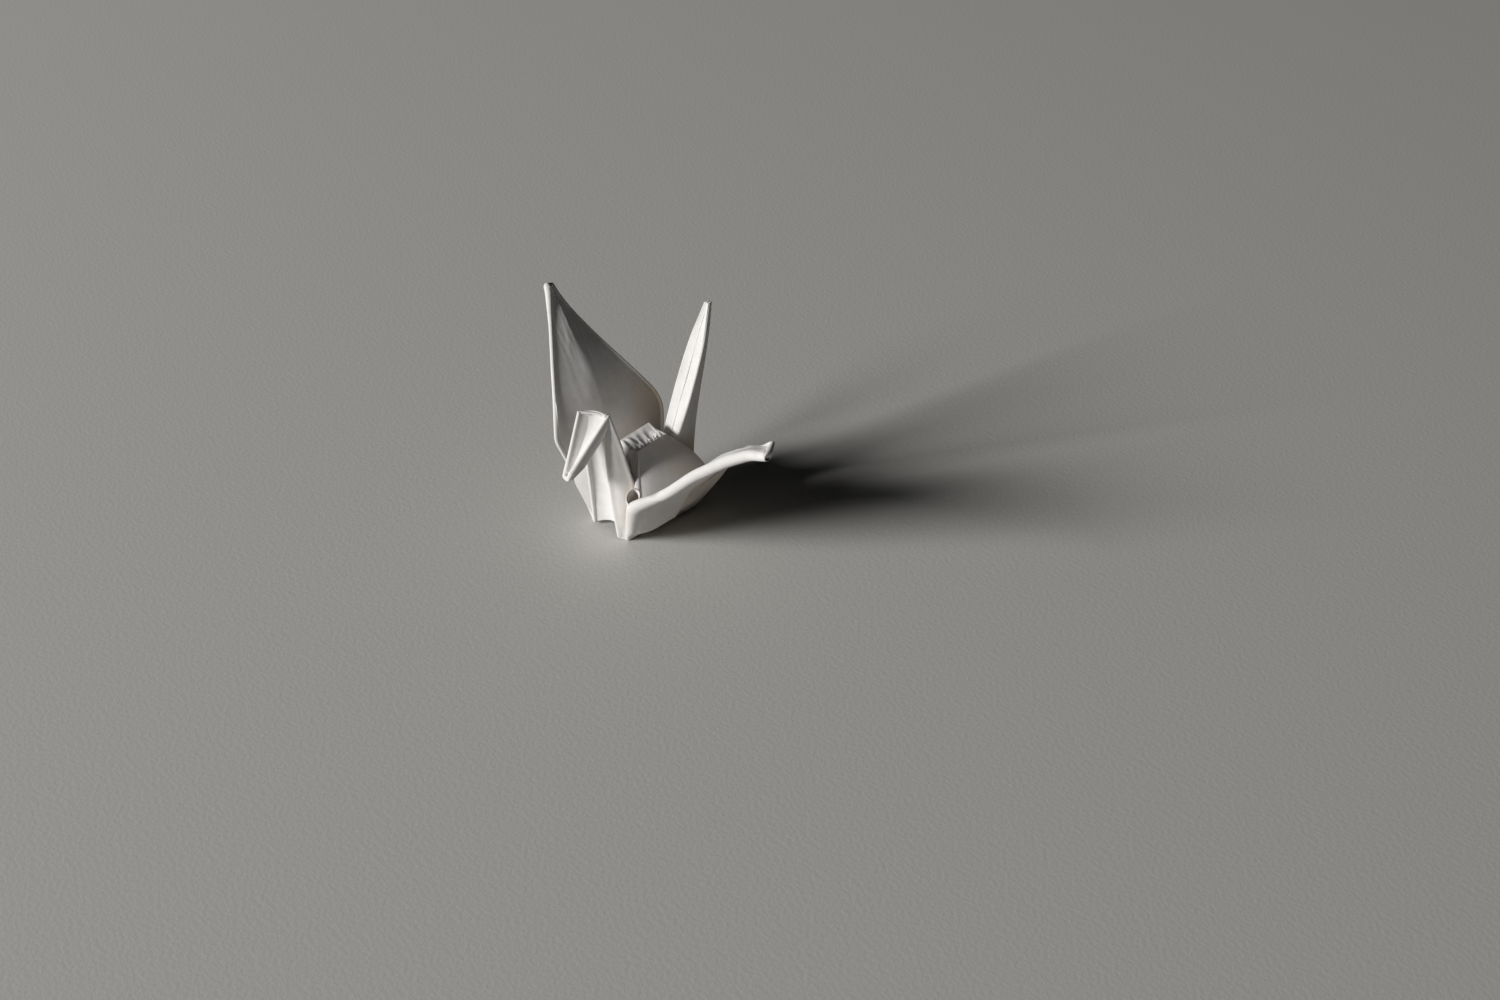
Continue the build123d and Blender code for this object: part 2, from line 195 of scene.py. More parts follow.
class PaperMesh:
    """The crane's one mesh, gathered grid by grid."""

    def __init__(self):
        self.places = []
        self.faces = []
        self.painted_warm_shade = []
        self.count = 0

    def add(self, grid, painted_warm_shade=0.0):
        """A grid of places, closed across its columns, with how much painted warm shade the paper has at
        each.
        """
        rows, columns = grid.shape[:2]
        index = np.arange(rows * columns).reshape(rows, columns) + self.count
        ahead = np.roll(index, -1, axis=1)
        quads = np.stack([index[:-1], ahead[:-1], ahead[1:], index[1:]], axis=-1).reshape(-1, 4)
        self.places.append(grid.reshape(-1, 3))
        self.faces.append(quads)
        self.painted_warm_shade.append(np.broadcast_to(painted_warm_shade, grid.shape[:2]).reshape(-1))
        self.count += rows * columns

    def finish(self, name):
        """The object: held to the solid's box and its spare room at the wings' tips, its doubled
        points merged, its faces outwards."""
        places = (np.vstack(self.places) + BODY_PLACE) * MM
        spare = np.array([BOX_SPARE * MM, 0, 0])
        places = np.clip(places, np.array(cad_box[0]) - spare, np.array(cad_box[1]) + spare)
        mesh = bpy.data.meshes.new(name)
        mesh.from_pydata(places, [], np.vstack(self.faces).tolist())
        # Painted warm shade: how much of the warm brown of shade in recesses and undersides is painted
        # into the colour at each point.
        layer = mesh.attributes.new("painted_warm_shade", "FLOAT", "POINT")
        layer.data.foreach_set("value", np.concatenate(self.painted_warm_shade).astype(np.float32))
        shape = bmesh.new()
        shape.from_mesh(mesh)
        bmesh.ops.remove_doubles(shape, verts=shape.verts, dist=0.002 * MM)
        bmesh.ops.dissolve_degenerate(shape, edges=shape.edges, dist=0.001 * MM)
        bmesh.ops.recalc_face_normals(shape, faces=shape.faces)
        shape.to_mesh(mesh)
        shape.free()
        mesh.shade_smooth()
        piece = bpy.data.objects.new(name, mesh)
        bpy.context.scene.collection.objects.link(piece)
        return piece


def pad(sheet, first, last, facing, radii, half, columns, camber=None, painted_warm_shade=None, softness=1.3,
        roughness=0.05, seed=1):
    """A closed stretch of paper between two edges, added to the sheet's mesh.

    Across it, a share runs from 0 at the first edge to 1 at the last, bunched at both as a cosine. The
    middle surface is the straight line between the edges, bent along its normal by a camber and
    a gentle wandering. Half the thickness is the stack's, swelling as a bell towards each edge to
    that fold's radius, and a half circle closes each edge. The two ends are rounded off by three
    rows whose thickness falls as a cosine. The camber and the painted warm shade, shade painted
    into the paper's colour, are functions of the share, the middle surface and the width.
    """
    columns = max(6, int(columns * FINENESS))
    wander_size, edge_fade, end_stretch = 7.0, 0.8, 1.3
    share = (1 - np.cos(np.linspace(0, np.pi, columns)))[None, :] / 2
    span = last - first
    width = np.linalg.norm(span, axis=1, keepdims=True)
    middle = first[:, None] + span[:, None] * share[..., None]
    flat = normals(middle, facing)
    from_edges = np.minimum(share, 1 - share) * width
    bend = wander(middle, wander_size, roughness, seed) * np.clip(from_edges / edge_fade, 0, 1)
    if camber is not None:
        bend = bend + camber(share, middle, width)
    middle = middle + flat * bend[..., None]
    normal = normals(middle, facing)
    columned = (np.asarray(radius, float).reshape(-1, 1) for radius in radii)
    first_radius, last_radius = (np.broadcast_to(radius, width.shape) for radius in columned)
    swell_first = (first_radius - half) * bell(share * width, softness * first_radius)
    swell_last = (last_radius - half) * bell((1 - share) * width, softness * last_radius)
    thick = half + np.where(np.abs(swell_first) > np.abs(swell_last), swell_first, swell_last)
    along = unit(np.gradient((first + last) / 2, axis=0))

    def rows(scale, shift):
        top = middle + shift[:, None] + normal * (thick * scale)[..., None]
        under = middle + shift[:, None] - normal * (thick * scale)[..., None]
        caps = []
        for edge, inner, radius, turn in ((-1, -3, last_radius, 1), (0, 2, first_radius, -1)):
            out = unit(middle[:, edge] - middle[:, inner])[:, None]
            rise = np.cos(CAP_TURNS) * normal[:, edge][:, None] * turn
            reach = np.sin(CAP_TURNS) * out
            caps.append((middle[:, edge] + shift)[:, None] + radius[..., None] * (rise * scale + reach))
        return np.concatenate([top, caps[0], under[:, ::-1], caps[1]], axis=1)

    body = rows(1.0, np.zeros_like(first))
    ends = [(math.cos(lean), half * end_stretch * math.sin(lean)) for lean in END_LEANS]
    start = [rows(scale, -along * reach)[:1] for scale, reach in ends[::-1]]
    stop = [rows(scale, along * reach)[-1:] for scale, reach in ends]
    # Painted warm shade: the tint is how much shade is painted into the colour, carried round the caps
    # and the ends.
    tint = np.zeros_like(thick)
    if painted_warm_shade is not None:
        tint = tint + painted_warm_shade(share, middle, width)
    caps = np.zeros((len(first), CAP_TURNS.size))
    tint = np.concatenate([tint, caps + tint[:, -1:], tint[:, ::-1], caps + tint[:, :1]], axis=1)
    tint = np.concatenate([tint[:1]] * len(ends) + [tint] + [tint[-1:]] * len(ends), axis=0)
    sheet.add(np.concatenate(start + [body] + stop, axis=0), tint)


def tube(sheet, path, radii, facing=(0, 0, 1), flatness=1.0):
    """A closed length of paper along a path: rings about it, each of its own radius, flattened in
    the direction that the tube faces, with round ends."""
    leans, columns = np.radians([30, 60, 89.9]), 12
    ahead = unit(np.gradient(path, axis=0))
    for end, turn in ((0, -1), (-1, 1)):
        reach = radii[end] * turn
        more = np.stack([path[end] + ahead[end] * reach * math.sin(lean) for lean in leans])
        thin = np.array([radii[end] * math.cos(lean) for lean in leans])
        path = np.vstack([path, more]) if end else np.vstack([more[::-1], path])
        radii = np.r_[radii, thin] if end else np.r_[thin[::-1], radii]
        same = ahead[end][None].repeat(len(leans), 0)
        ahead = np.vstack([ahead, same]) if end else np.vstack([same, ahead])
    side = unit(np.cross(ahead, np.asarray(facing, float)))
    rise = np.cross(side, ahead)
    turn = np.linspace(0, 2 * np.pi, columns, endpoint=False)[None, :, None]
    ring = np.cos(turn) * side[:, None] + flatness * np.sin(turn) * rise[:, None]
    sheet.add(path[:, None] + radii[:, None, None] * ring)


def arc_run(start_rise, end_rise, length):
    """How far out and up an arc goes, whose slope changes evenly along its length."""
    least_turn = 1e-6
    start, end = np.radians(start_rise), np.radians(end_rise)
    turn = np.where(np.abs(end - start) < least_turn, least_turn, end - start)
    out = length / turn * (np.sin(start + turn) - np.sin(start))
    return out, length / turn * (np.cos(start) - np.cos(start + turn))


class WingSide:
    """A side panel and its wing: the line that they follow up and out, seen along the body.

    The panel leans from upright, the wing rises at its root and its tip, and its tip rolls, all in
    degrees. For each end, FRONT or REAR: bulges widens the corner, rims is the rolled edge's radius at
    the foot, the corner, three quarters out and the tip, reaches draws the tip out, and drifts holds
    heights, how far the edge drifts outwards there, how far towards the underside, and its easing.
    """

    def __init__(self, side, foot_out, ahead, lean, root_rise, tip_rise, tip_width, roll, swell,
                 bulges, rims, drifts, reaches):
        self.side = side
        self.foot_out = foot_out
        self.ahead = ahead
        self.tip_width = tip_width
        self.roll = math.radians(roll)
        self.swell = swell
        self.bulges = bulges
        self.rims = rims
        self.drifts = drifts
        self.reaches = reaches
        overrun = 2
        start, end = SIDE_HEIGHT - WING_BEND_RUN, SIDE_HEIGHT + WING_BEND_RUN
        self.arcs = [
            (0, start, 90 - lean, 90 - lean),
            (start, end, 90 - lean, root_rise),
            (end, SIDE_HEIGHT + WING_LENGTH + overrun, root_rise, tip_rise),
        ]

    def wing_share(self, height):
        """How far along the wing a height is, from 0 at its corners to 1 at its tip."""
        return np.clip((np.asarray(height, float) - SIDE_HEIGHT) / WING_LENGTH, 0, 1)

    def half_width(self, height, end):
        """Half the width of the side panel or its wing towards one end."""
        bulge, left = self.bulges[end], 1 - self.wing_share(height)
        panel = FOOT_HALF + (CORNER_HALF + bulge - FOOT_HALF) * height / SIDE_HEIGHT
        taper = np.maximum(CORNER_HALF * left + WING_POINT_HALF * (1 - left), self.tip_width / 2)
        return np.where(height <= SIDE_HEIGHT, panel, taper + bulge * left)

    def rim_radius(self, height, end):
        """The rolled edge's radius, which changes evenly between its four marks."""
        marks = [0, SIDE_HEIGHT, SIDE_HEIGHT + 0.75 * WING_LENGTH, SIDE_HEIGHT + WING_LENGTH]
        return np.interp(height, marks, self.rims[end])

    def edge(self, height, end, inset=0.0, depth=0.0):
        """The front or the rear edge: half the width and both drifts, averaged over neighbouring
        heights, and drawn out over the last third of the wing."""
        marks, widenings, sways, reach = self.drifts[end]
        levels = np.linspace(-EDGE_MARGIN, SIDE_HEIGHT + WING_LENGTH + EDGE_MARGIN, EDGE_SAMPLES)
        width = eased(self.half_width(levels, end) + np.interp(levels, marks, widenings), reach)
        sway = eased(np.interp(levels, marks, sways), SWAY_EASING)
        along = end * (np.interp(height, levels, width) - inset)
        depth = np.interp(height, levels, sway) + depth
        last_third = ease(self.wing_share(height) * 3 - 2)
        return self.place(height + self.reaches[end] * last_third, along, depth)

    def place(self, height, along, depth=0.0):
        """Places at heights up the paper from the feet, along the body, and towards the underside.
        The line goes up the panel, round the bend at the corners and out along the wing as three
        arcs, and the wing rolls about it, by an angle that grows with the square of its share."""
        height, along = np.broadcast_arrays(np.asarray(height, float), np.asarray(along, float))
        share = self.wing_share(height)
        depth = depth - along * np.sin(self.roll * share**2)
        along = along * np.cos(self.roll * share**2)
        out = np.full(height.shape, self.foot_out)
        up = np.full(height.shape, FOOT_RISE)
        slope = np.full(height.shape, self.arcs[0][2], float)
        for start, end, start_rise, end_rise in self.arcs:
            part = np.clip((height - start) / (end - start), 0, 1)
            rise = start_rise + (end_rise - start_rise) * part
            run_out, run_up = arc_run(start_rise, rise, (end - start) * part)
            out, up = out + run_out, up + run_up
            slope = np.where(height >= start, rise, slope)
        out = out + depth * np.sin(np.radians(slope))
        up = up - depth * np.cos(np.radians(slope))
        return np.stack([self.side * out, along - self.ahead * (1 - share), up], axis=-1)

    def puff(self, height, away):
        """How far the panel swells outwards behind its front edge, at a distance away from it: a
        quarter circle over the round of the edge, and then a slow fall."""
        edge_round, fall = 2.4, 5
        rise = ease(height / 5) * ease((SIDE_HEIGHT + 7 - height) / 9)
        front = np.sqrt(np.clip(1 - (1 - np.minimum(away, edge_round) / edge_round) ** 2, 0, 1))
        return self.swell * rise * front * bell(np.maximum(away - edge_round, 0), fall)


def wing(sheet, side):
    """A side panel and its wing, with a crease down the wing's middle.

    The surface rises to the crease in proportion to the share out along the wing and the distance
    from the nearer edge, and flattens near the tip. It swells with the panel's puff, and streaks
    drawn out along the wing lie in a band before the crease.
    """
    rows, ridge_slope, tip_flat = 96, 0.3, 0.2
    streak_size, streak_height, streak_across, streak_along = 1.6, 0.07, 1.3, 0.22
    band_place, band_width, edge_fade = -1.2, 2.4, 0.9
    near = side.side > 0
    # The streaks' band strength, and the strength and reach of the painted warm shade.
    band_strength, painted_shade_strength, painted_shade_reach = (0.3, 0, 4.5) if near else (1.0, 0.8, 4.5)
    heights = np.linspace(0, SIDE_HEIGHT + WING_LENGTH, int(rows * FINENESS))
    front, rear = (side.edge(heights, end) for end in (FRONT, REAR))
    share_out = side.wing_share(heights)[:, None]

    def camber(share, middle, width):
        front_half = side.half_width(heights, FRONT)[:, None]
        offset = share * width - front_half
        reach = np.where(offset < 0, front_half, width - front_half)
        inside = reach - np.abs(offset)
        ridge = ridge_slope * share_out * ease((1 - share_out) / tip_flat) * np.clip(inside, 0, None)
        swell = -side.puff(heights[:, None], share * width)
        level = 0 * offset
        drawn_out = np.stack([offset * streak_across, streak_along * heights[:, None] + level, level], -1)
        streaks = creases(drawn_out, streak_size, streak_height, 5)
        band = bell(offset - band_place, band_width) * ease(share_out / 0.2) * band_strength
        return ridge + swell + streaks * band * np.clip(inside / edge_fade, 0, 1)

    # Painted warm shade on the far wing: its rear part near the corners is darkened towards warm brown,
    # where it lies in shade.
    def painted_warm_shade(share, middle, width):
        from_corners = bell(heights[:, None] - SIDE_HEIGHT, painted_shade_reach)
        return painted_shade_strength * ease((share - 0.6) / 0.4) * from_corners

    radii = [side.rim_radius(heights, end) for end in (FRONT, REAR)]
    pad(sheet, front, rear, (-side.side, 0, 1), radii=radii, half=WALL_HALF, columns=50,
        camber=camber, painted_warm_shade=painted_warm_shade, softness=1.6 if near else 1.2, seed=3 + side.side)
    tip = soft_line([front[-1], rear[-1]], 10)
    tip_radii = np.linspace(radii[0][-1], radii[1][-1], len(tip)) * 0.95
    tube(sheet, tip, tip_radii, facing=(-side.side, 0, 1))


def under_wing(sheet, side):
    """The two wedges beneath the wing, which meet at an open seam, the front one standing proud.

    Each runs from the wing's edge to a line beside the crease, lowered towards the underside, and
    bows from the wing in proportion to its width; the front one swells with the panel.
    """
    near_depths, far_depth, outer_inset, bow_slope = {FRONT: 1.4, REAR: 0.25}, 0.3, 0.1, 0.2
    last_height = SIDE_HEIGHT + 0.97 * WING_LENGTH
    heights = np.linspace(FLAP_LEVEL - FOOT_LEVEL, last_height, int(48 * FINENESS))
    fronts, rears = (side.half_width(heights, end)[:, None] for end in (FRONT, REAR))
    lift = bow_slope * side.wing_share(heights)[:, None]
    for end, gap in ((FRONT, 0.0), (REAR, 0.7)):
        depth = near_depths[end] if side.side > 0 else far_depth
        outer = side.edge(heights, end, outer_inset, outer_inset)
        crease = (fronts + end * gap) / (fronts + rears)
        front, rear = (side.edge(heights, way, depth=depth) for way in (FRONT, REAR))
        inner = front * (1 - crease) + rear * crease

        def camber(share, middle, width):
            rise = -lift * width * share
            return rise + (side.puff(heights[:, None], share * width) if end == FRONT else 0)

        # Painted warm shade: the rear wedge darkened throughout, and both wedges towards their inner edge
        # at the seam.
        def painted_warm_shade(share, middle, width):
            return (0.3 if end == REAR else 0.0) + 0.6 * bell((1 - share) * width, 0.8)

        pad(sheet, outer, inner, (side.side, 0, -1), radii=(0.16, 0.14), half=FOLDED_HALF, columns=16,
            camber=camber, painted_warm_shade=painted_warm_shade, seed=61 + end)


def flaps(sheet, side):
    """The two flaps on the outside of a side panel, whose upper edges make a V.

    Each runs from the panel's edge to a line near its middle that ends at the seam; the front one
    swells with the panel, and the rear one bows by a half sine.
    """
    count = int(26 * FINENESS)
    heights = np.linspace(0.1, SIDE_HEIGHT, count)
    levels = np.linspace(SPINE_LEVEL - FOOT_LEVEL, FLAP_LEVEL - FOOT_LEVEL, count)
    for end, inner_depth in ((FRONT, 0.34), (REAR, 0.24)):
        outer = side.edge(heights, end, 0.25, 0.22)
        inner = side.place(levels, end * 0.18, inner_depth)

        def camber(share, middle, width):
            rear_bow = 0.15 * np.sin(np.pi * share) + 0 * width
            return side.puff(heights[:, None], share * width) if end == FRONT else rear_bow

        # Painted warm shade: the rear flap darkened throughout, and both flaps towards their inner line.
        def painted_warm_shade(share, middle, width):
            return (0.0 if end == FRONT else 0.4) + 0.3 * bell((1 - share) * width, 0.8)

        pad(sheet, outer, inner, (side.side, 0, 0), radii=(0.16, 0.13), half=WALL_HALF, columns=16,
            camber=camber, painted_warm_shade=painted_warm_shade, seed=11 + end)


def lip(sheet, side):
    """The rolled front edge left open at the wing's front corner: an oval cup with a thin rim, made
    of rings that each have a share of the rim's size and a depth below it."""
    corner = side.place(SIDE_HEIGHT, -side.half_width(SIDE_HEIGHT, FRONT))
    centre = corner + np.array([-0.95, 1.2, 0.6])
    long_way = unit(np.array([-0.62, 0.78, 0.12])) * 2.2
    short_way = unit(np.array([0.78, 0.62, -0.1])) * 1.15
    down = unit(np.array([-0.35, 0.28, -1.0]))
    outside = [(0, 2.4), (0.7, 2.4), (0.9, 1.2), (1.0, 0.3), (0.98, 0.06), (0.9, 0)]
    inside = [(0.8, 0.05), (0.74, 0.25), (0.66, 1.0), (0.5, 1.8), (0, 2.0)]
    profile = outside + inside
    turn = np.linspace(0, 2 * np.pi, 40, endpoint=False)[:, None]
    ring = np.cos(turn) * long_way + np.sin(turn) * short_way
    grid = np.stack([centre + ring * scale + down * depth for scale, depth in profile])
    depths = np.array([depth for _, depth in profile])[:, None]
    # Painted warm shade, growing with depth down the cup.
    sheet.add(grid, np.clip(depths / 2, 0, 1) * 0.6)


def hump_corner(side, end):
    """A corner of the hump's squashed top."""
    rise = HUMP_REAR_RISE if end == REAR else 0
    return np.array([side * HUMP_TOP_WIDTH / 2, end * HUMP_TOP_LENGTH / 2, HUMP_HEIGHT + rise])


def hump(sheet, sides):
    """The hump: a wall inside each side panel, a folded-in wall at each end, and a crumpled top.

    The walls hang between eased lines from the top's corners down to the side panels. Each side
    wall swells outwards, by one less an exponential of the distance from each of its two ridges,
    and the near one has a loose fold along its front ridge.
    """
    count = int(44 * FINENESS)
    hinge = HINGE_LEVEL - FOOT_LEVEL
    hinge_half = LEG_SLOPE * (HALF_DIAGONAL + HINGE_LEVEL)
    ridge_height = RIDGE_LEVEL - FOOT_LEVEL
    for side in sides:
        near = side.side > 0
        depth = 1.35 if near else 0.5
        ridges = []
        for end in (FRONT, REAR):
            top = hump_corner(side.side, end)
            ridge = side.place(ridge_height, end * -RIDGE_LEVEL)
            middle = (top + ridge) / 2
            if near and end == REAR:
                middle = middle + np.array([0.2, 0.5, 0.7])
            foot = side.place(hinge, end * hinge_half)
            sole = side.place(0, end * FOOT_HALF)
            ridges.append(soft_line([top, middle, ridge, foot], count, 0.08))
            outer = soft_line([top, middle, ridge, sole], count, 0.08)
            peak = np.array([0, end * HUMP_TOP_LENGTH / 2, top[2] - HUMP_DENT])
            centre = soft_line([peak, np.array([0, end * SPINE_INSET, SPINE_RISE])], count)

            # Painted warm shade: the near half of each end wall, below its top, darkened towards warm
            # brown.
            def gusset_painted_shade(share, middle, width):
                return 0.6 * ease((13.4 - middle[..., 2]) / 3) * ease(middle[..., 0] / 2)

            pad(sheet, outer, centre, (0, end, 0), radii=(RIDGE_RADIUS, RIDGE_RADIUS), half=PLY_HALF,
                columns=18, painted_warm_shade=gusset_painted_shade, roughness=0.12, seed=21 + end)

        if near:
            fold = ridges[0][count // 22:count * 34 // 44]
            fold = fold + np.linspace(0.1, 0.6, len(fold))[:, None] * [0.8, 0.6, 0]
            fold_radii = 0.2 + 0.35 * np.sin(np.linspace(0, np.pi, len(fold)))
            tube(sheet, fold, fold_radii, facing=(0.5, -0.8, 0), flatness=0.7)

        def camber(share, middle, width):
            down = np.linspace(0, 1, len(width))[:, None]
            swell = 0.25 + 0.75 * ease(down / 0.3)
            from_front, from_rear = share * width, (1 - share) * width
            across = (1 - np.exp(-from_front / 1.9)) * (1 - np.exp(-from_rear / 2.4))
            return depth * swell * ease((1 - down) / 0.2) * across

        # Painted warm shade: each side wall darkened towards its rear ridge.
        def painted_warm_shade(share, middle, width):
            return 0.35 * ease((share - 0.3) / 0.4) + 0 * width

        pad(sheet, ridges[0], ridges[1], (side.side, 0, 0.3), radii=(RIDGE_RADIUS, RIDGE_RADIUS),
            half=PLY_HALF, columns=32, camber=camber, painted_warm_shade=painted_warm_shade, seed=25 + side.side)
    hump_top(sheet)


def hump_top(sheet):
    """The squashed top: a dented, creased sheet whose near edge hangs over in pinched pleats.

    The dent is a squared sine across, the near edge hangs out and down by a raised cosine along it,
    and each pleat is a flattened tube from the sheet over the edge, with a place along the edge, a
    length and a radius.
    """
    count = int(64 * FINENESS)
    corners = [[hump_corner(side, end) for end in (FRONT, REAR)] for side in (1, -1)]
    near, far = (soft_line(pair, count) for pair in corners)
    along = np.linspace(0, 1, count)[:, None]
    ripple = 0.5 - 0.5 * np.cos(2 * np.pi * 4.3 * along**0.9)
    over = ease(along / 0.12) * ease((1 - along) / 0.1)
    near = near + over * np.array([[0.5, -0.1, -0.7]]) + over * ripple * np.array([[0.3, -0.15, -0.7]])

    def camber(share, middle, width):
        dent = -HUMP_DENT * np.sin(np.pi * share) ** 2
        pinch = 0.28 * (ripple - 0.5) * bell(share - 0.12, 0.2)
        fine = creases(middle, 1.7, 0.22, 8) * bell(share - 0.25, 0.3)
        broad = creases(middle, 3.6, 0.25, 18) * np.sin(np.pi * share) ** 0.5
        return dent + (pinch + fine + broad) * over

    pad(sheet, near, far, (0, 0, 1), radii=(0.16, RIDGE_RADIUS), half=PLY_HALF, columns=44,
        camber=camber, roughness=0.15, seed=31)
    pleats = ((0.16, 2.2, 0.36), (0.38, 3.0, 0.45), (0.6, 2.5, 0.42), (0.8, 1.6, 0.36))
    for share, length, fat in pleats:
        edge = corners[0][0] * (1 - share) + corners[0][1] * share
        places = [edge + [-1.7, 1.0, -0.2], edge + [0.2, 0.15, 0.0], edge + [1.0, -0.4, -length]]
        path = soft_line(places, 24, 0.12)
        marks = np.linspace(0, 1, len(path))
        radii = np.interp(marks, [0, 0.5, 0.8, 1], [0.12, fat, 0.8 * fat, 0.1])
        tube(sheet, path, radii, facing=(0.4, -0.6, 0.5), flatness=0.65)


def leg(sheet, spine, rims, edges, painted_warm_shade, bow, tip_radius):
    """A leg: two arms out from its spine, each with a flap folded back outside it from the rim.
    The flap bows outwards by a half sine, and the folds grow thinner over the last third."""

    def camber(share, middle, width):
        return bow * np.sin(np.pi * share) * ease(width / 3)

    thin = np.interp(np.linspace(0, 1, len(spine)), [0, 0.7, 1], [1, 1, tip_radius / RIM_RADIUS])
    # Both pads carry the painted warm shade that is passed in.
    for side, rim, edge in zip((1, -1), rims, edges):
        pad(sheet, rim, spine, (side, 0, 0), radii=(RIM_RADIUS * thin, RIDGE_RADIUS), half=PLY_HALF,
            columns=14, painted_warm_shade=painted_warm_shade, seed=41 + side)
        pad(sheet, rim, edge, (side, 0, 0), radii=(RIM_RADIUS * thin, FLAP_RADIUS * thin),
            half=PLY_HALF, columns=20, camber=camber, painted_warm_shade=painted_warm_shade, seed=45 + side)


def trough(sheet, first, last, sag, facing, seed):
    """The hollow between two edges of a leg: a smooth web that sags between them by a half sine."""

    def camber(share, middle, width):
        return -sag * np.sin(np.pi * share) * ease(width / 2)

    pad(sheet, first, last, facing, radii=(0.1, 0.1), half=0.08, columns=16, roughness=0.06,
        camber=camber, seed=seed)


def neck_and_head(sheet, sides):
    """The neck, from the front feet to its top fold, and the head folded down in front of it.

    Each rim is a line from a foot to a shoulder that bows aside halfway. The near flap spreads from
    its rim by a width that changes evenly between marks up the neck, and the far one from the spine.
    """
    count = int(54 * FINENESS)
    lean, length = math.radians(18.0), 24.6
    root = np.array([0, -SPINE_INSET, SPINE_RISE])
    top = root + np.array([0, -math.sin(lean), math.cos(lean)]) * length
    shoulders = [top + np.array([2.0, -0.3, 0]), top + np.array([-1.45, -2.9, 0])]
    spine = soft_line([root, top + [0.3, -0.9, -0.9]], count)
    up = np.linspace(0, 1, count)
    rims, edges = [], []
    feet_in, bows = (1.2, 1.6), (-0.9, 0.7)
    for side, shoulder, foot_in, bow in zip(sides, shoulders, feet_in, bows):
        side_foot = side.place(0, -FOOT_HALF)
        foot = side_foot + np.array([-side.side * foot_in, -0.9, foot_in / 4])
        halfway = (foot + shoulder) / 2 + np.array([bow, -0.2, 0])
        rims.append(soft_line([foot, halfway, shoulder], count, 0.2))
        tube(sheet, soft_line([side_foot, foot], 8), np.full(8, RIM_RADIUS))
    near_spread = np.interp(up, [0, 0.3, 0.45, 0.75, 0.97, 1], [1.2, 3.3, 3.8, 2.3, 0.7, 0.5])
    edges.append(rims[0] + near_spread[:, None] * unit(np.array([0.75, 0.66, 0.0])))
    far_spread = np.interp(up, [0, 0.5, 1], [0.6, 1.0, 0.7])
    edges.append(spine - far_spread[:, None] * np.array([2.1, 0, 0]))

    # Painted warm shade: the neck's pads darkened towards the spine and the flaps' free edges, about 8 mm
    # up.
    def painted_warm_shade(share, middle, width):
        return 0.5 * bell(middle[..., 2] - 8, 4) * ease((share - 0.6) / 0.4)

    leg(sheet, spine, rims, edges, painted_warm_shade, bow=0.45, tip_radius=RIM_RADIUS)
    raised_rim = soft_line(rims[0][count // 9:], count)
    trough(sheet, raised_rim, rims[1], sag=0.7, facing=(0, -1, 0), seed=71)
    head(sheet, top, [shoulders[0] + np.array([0.4, 0.2, -0.3]), shoulders[1]])


def head(sheet, top, shoulders):
    """The head: two arms that splay from a spine beneath and close at the blunt beak, with a web
    between them, a flap outside the near arm, a loop round the beak and a fold over the top."""
    count = int(32 * FINENESS)
    drop, turn, length = math.radians(60.0), math.radians(4.0), 10.7
    level = np.array([-math.sin(turn), -math.cos(turn), 0])
    ahead = level * math.cos(drop) - np.array([0, 0, math.sin(drop)])
    marks = np.linspace(0, 1, count)
    middle = (shoulders[0] + shoulders[1]) / 2
    beak = middle + ahead * length
    spine = soft_line([top + np.array([0.4, -0.2, -0.9]), beak + np.array([0, 0.3, -0.3])], count)
    arms = []
    for shoulder, side in zip(shoulders, (1, -1)):
        rim = soft_line([shoulder, beak + np.array([side * 0.62, 0, 0.1])], count)
        radii = np.interp(marks, [0, 0.75, 1], [0.3, 0.36, 0.5])
        arms.append(rim)
        pad(sheet, rim, spine, (side, 0.3, -0.5), radii=(radii, RIDGE_RADIUS), half=FOLDED_HALF,
            columns=28, seed=51 + side)
    trough(sheet, arms[0], arms[1], sag=0.65, facing=(0, -1, 0.5), seed=73)
    spread = np.interp(marks, [0, 0.15, 0.7, 1], [0.5, 1, 1, 0.5])[:, None]
    pad(sheet, arms[0] + [0.05, 0, -0.1], arms[0] + spread * [0.3, 0.25, -1.7], (1, 0, 0),
        radii=(0.2, 0.16), half=FOLDED_HALF, columns=10, seed=57)
    tip = beak + ahead * 0.9
    loop = soft_line([arms[1][-2], tip - [0.5, 0, 0], tip + [0.5, 0, 0], arms[0][-2]], 16, 0.12)
    tube(sheet, loop, np.full(16, 0.45), facing=(0, -1, 0.3))
    crest = (shoulders[0] + shoulders[1]) * 0.38 + top * 0.24
    tube(sheet, soft_line([shoulders[0], crest, shoulders[1]], 16, 0.1), np.full(16, 0.22))


